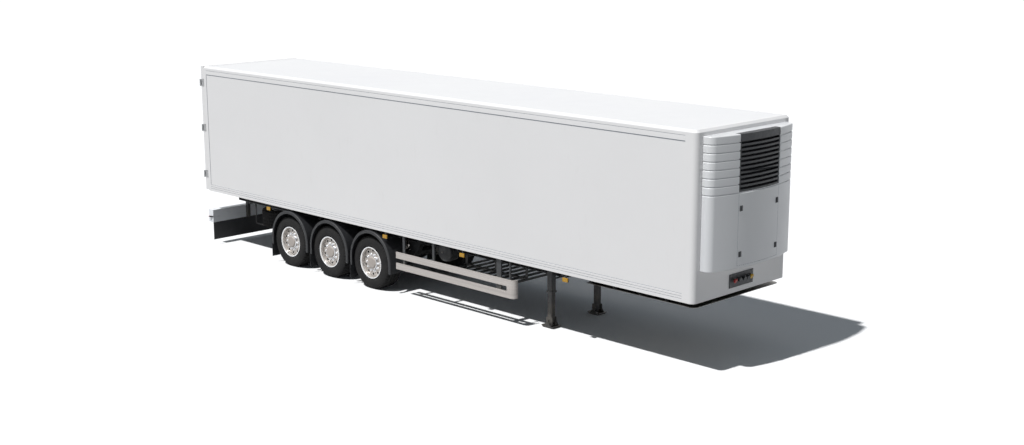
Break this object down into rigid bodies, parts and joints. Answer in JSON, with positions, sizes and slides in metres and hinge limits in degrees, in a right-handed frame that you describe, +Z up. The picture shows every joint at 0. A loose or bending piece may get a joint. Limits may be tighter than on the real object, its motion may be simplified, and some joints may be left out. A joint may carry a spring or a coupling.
{
  "type": "three-axle refrigerated box semi-trailer",
  "caption": "Long white insulated box semi-trailer with rear doors, single wheels under mudguards, side guards, landing legs and a cooling unit on its front wall.",
  "frame": {"origin": "on the ground, at the middle of the overall length and width", "axes": "+X forward, the way it is towed; +Y to its left; +Z up"},
  "size_m": [14.0048, 2.557, 4],
  "materials": {
    "white_panel": "smooth white glass-fibre skin over foam",
    "white_rail": "white coated edge profile",
    "grey_floor": "hard-wearing dark resin with light grit",
    "white_housing": "white moulded housing",
    "black_plastic": "matt black moulding",
    "black_rubber": "black moulded mudguard plastic and rubber",
    "tyre_rubber": "dusty black tyre",
    "polished_rim": "polished rim",
    "silver_rim": "silver painted rim",
    "guard_rail": "anodised rail, slightly warm grey",
    "galvanised": "galvanised steel",
    "pale_bumper": "light painted steel",
    "red_lens": "red lens",
    "amber_lens": "amber lens",
    "spring_rubber": "black bellows rubber",
    "bare_steel": "greased bare steel",
    "dark_chassis": "dark grey chassis paint"
  },
  "bodies": {
    "root": {"air_springs": "spring_rubber", "air_tanks": "dark_chassis", "axle_beams": "dark_chassis", "body_rails": "white_rail", "brake_units": "dark_chassis", "bumper_posts": "dark_chassis", "coupling_panel": "black_plastic", "cross_members": "dark_chassis", "front_wall": "white_panel", "guard_posts_left": "dark_chassis", "guard_posts_right": "dark_chassis", "hangers": "dark_chassis", "hinge_brackets": "galvanised", "kingpin": "bare_steel", "leg_gear": "dark_chassis", "leg_left": "dark_chassis", "leg_right": "dark_chassis", "leg_tubes": "dark_chassis", "load_floor": "grey_floor", "main_beams": "dark_chassis", "mudguard_stays": "dark_chassis", "mudguards_left": "black_rubber", "mudguards_right": "black_rubber", "neck_beams": "dark_chassis", "pallet_rack": "dark_chassis", "rear_bumper": "pale_bumper", "rear_frame": "white_rail", "rear_lamps": "red_lens", "roof": "white_panel", "shock_absorbers": "dark_chassis", "side_guard_left": "guard_rail", "side_guard_right": "guard_rail", "side_lamps": "amber_lens", "side_wall_left": "white_panel", "side_wall_right": "white_panel", "skid_plate": "bare_steel", "spare_cradle": "dark_chassis", "spare_rim": "silver_rim", "spare_tyre": "tyre_rubber", "spray_flap": "black_rubber", "trailing_arms": "dark_chassis", "unit_grille": "black_plastic", "unit_housing": "white_housing"},
    "door_left": {"door_fittings_left": "galvanised", "door_left": "white_panel"},
    "door_right": {"door_fittings_right": "galvanised", "door_right": "white_panel"},
    "wheel_front_left": {"rim_front_left": "polished_rim", "tyre_front_left": "tyre_rubber"},
    "wheel_front_right": {"rim_front_right": "polished_rim", "tyre_front_right": "tyre_rubber"},
    "wheel_middle_left": {"rim_middle_left": "polished_rim", "tyre_middle_left": "tyre_rubber"},
    "wheel_middle_right": {"rim_middle_right": "polished_rim", "tyre_middle_right": "tyre_rubber"},
    "wheel_rear_left": {"rim_rear_left": "polished_rim", "tyre_rear_left": "tyre_rubber"},
    "wheel_rear_right": {"rim_rear_right": "polished_rim", "tyre_rear_right": "tyre_rubber"}
  },
  "joints": [
    {"name": "wheel_rear_left_spin", "type": "hinge", "parent": "root", "child": "wheel_rear_left", "pos_m": [-3.9765, 1.0075, 0.525], "axis": [0, 1, 0], "continuous": true},
    {"name": "wheel_rear_right_spin", "type": "hinge", "parent": "root", "child": "wheel_rear_right", "pos_m": [-3.9765, -1.0075, 0.525], "axis": [0, 1, 0], "continuous": true},
    {"name": "wheel_middle_left_spin", "type": "hinge", "parent": "root", "child": "wheel_middle_left", "pos_m": [-2.6635, 1.0075, 0.525], "axis": [0, 1, 0], "continuous": true},
    {"name": "wheel_middle_right_spin", "type": "hinge", "parent": "root", "child": "wheel_middle_right", "pos_m": [-2.6635, -1.0075, 0.525], "axis": [0, 1, 0], "continuous": true},
    {"name": "wheel_front_left_spin", "type": "hinge", "parent": "root", "child": "wheel_front_left", "pos_m": [-1.3505, 1.0075, 0.525], "axis": [0, 1, 0], "continuous": true},
    {"name": "wheel_front_right_spin", "type": "hinge", "parent": "root", "child": "wheel_front_right", "pos_m": [-1.3505, -1.0075, 0.525], "axis": [0, 1, 0], "continuous": true},
    {"name": "door_left_swing", "type": "hinge", "parent": "root", "child": "door_left", "pos_m": [-6.9855, 1.2645, 2.6], "axis": [0, 0, -1], "range_deg": [0, 270]},
    {"name": "door_right_swing", "type": "hinge", "parent": "root", "child": "door_right", "pos_m": [-6.9855, -1.2645, 2.6], "axis": [0, 0, 1], "range_deg": [0, 270]}
  ]
}
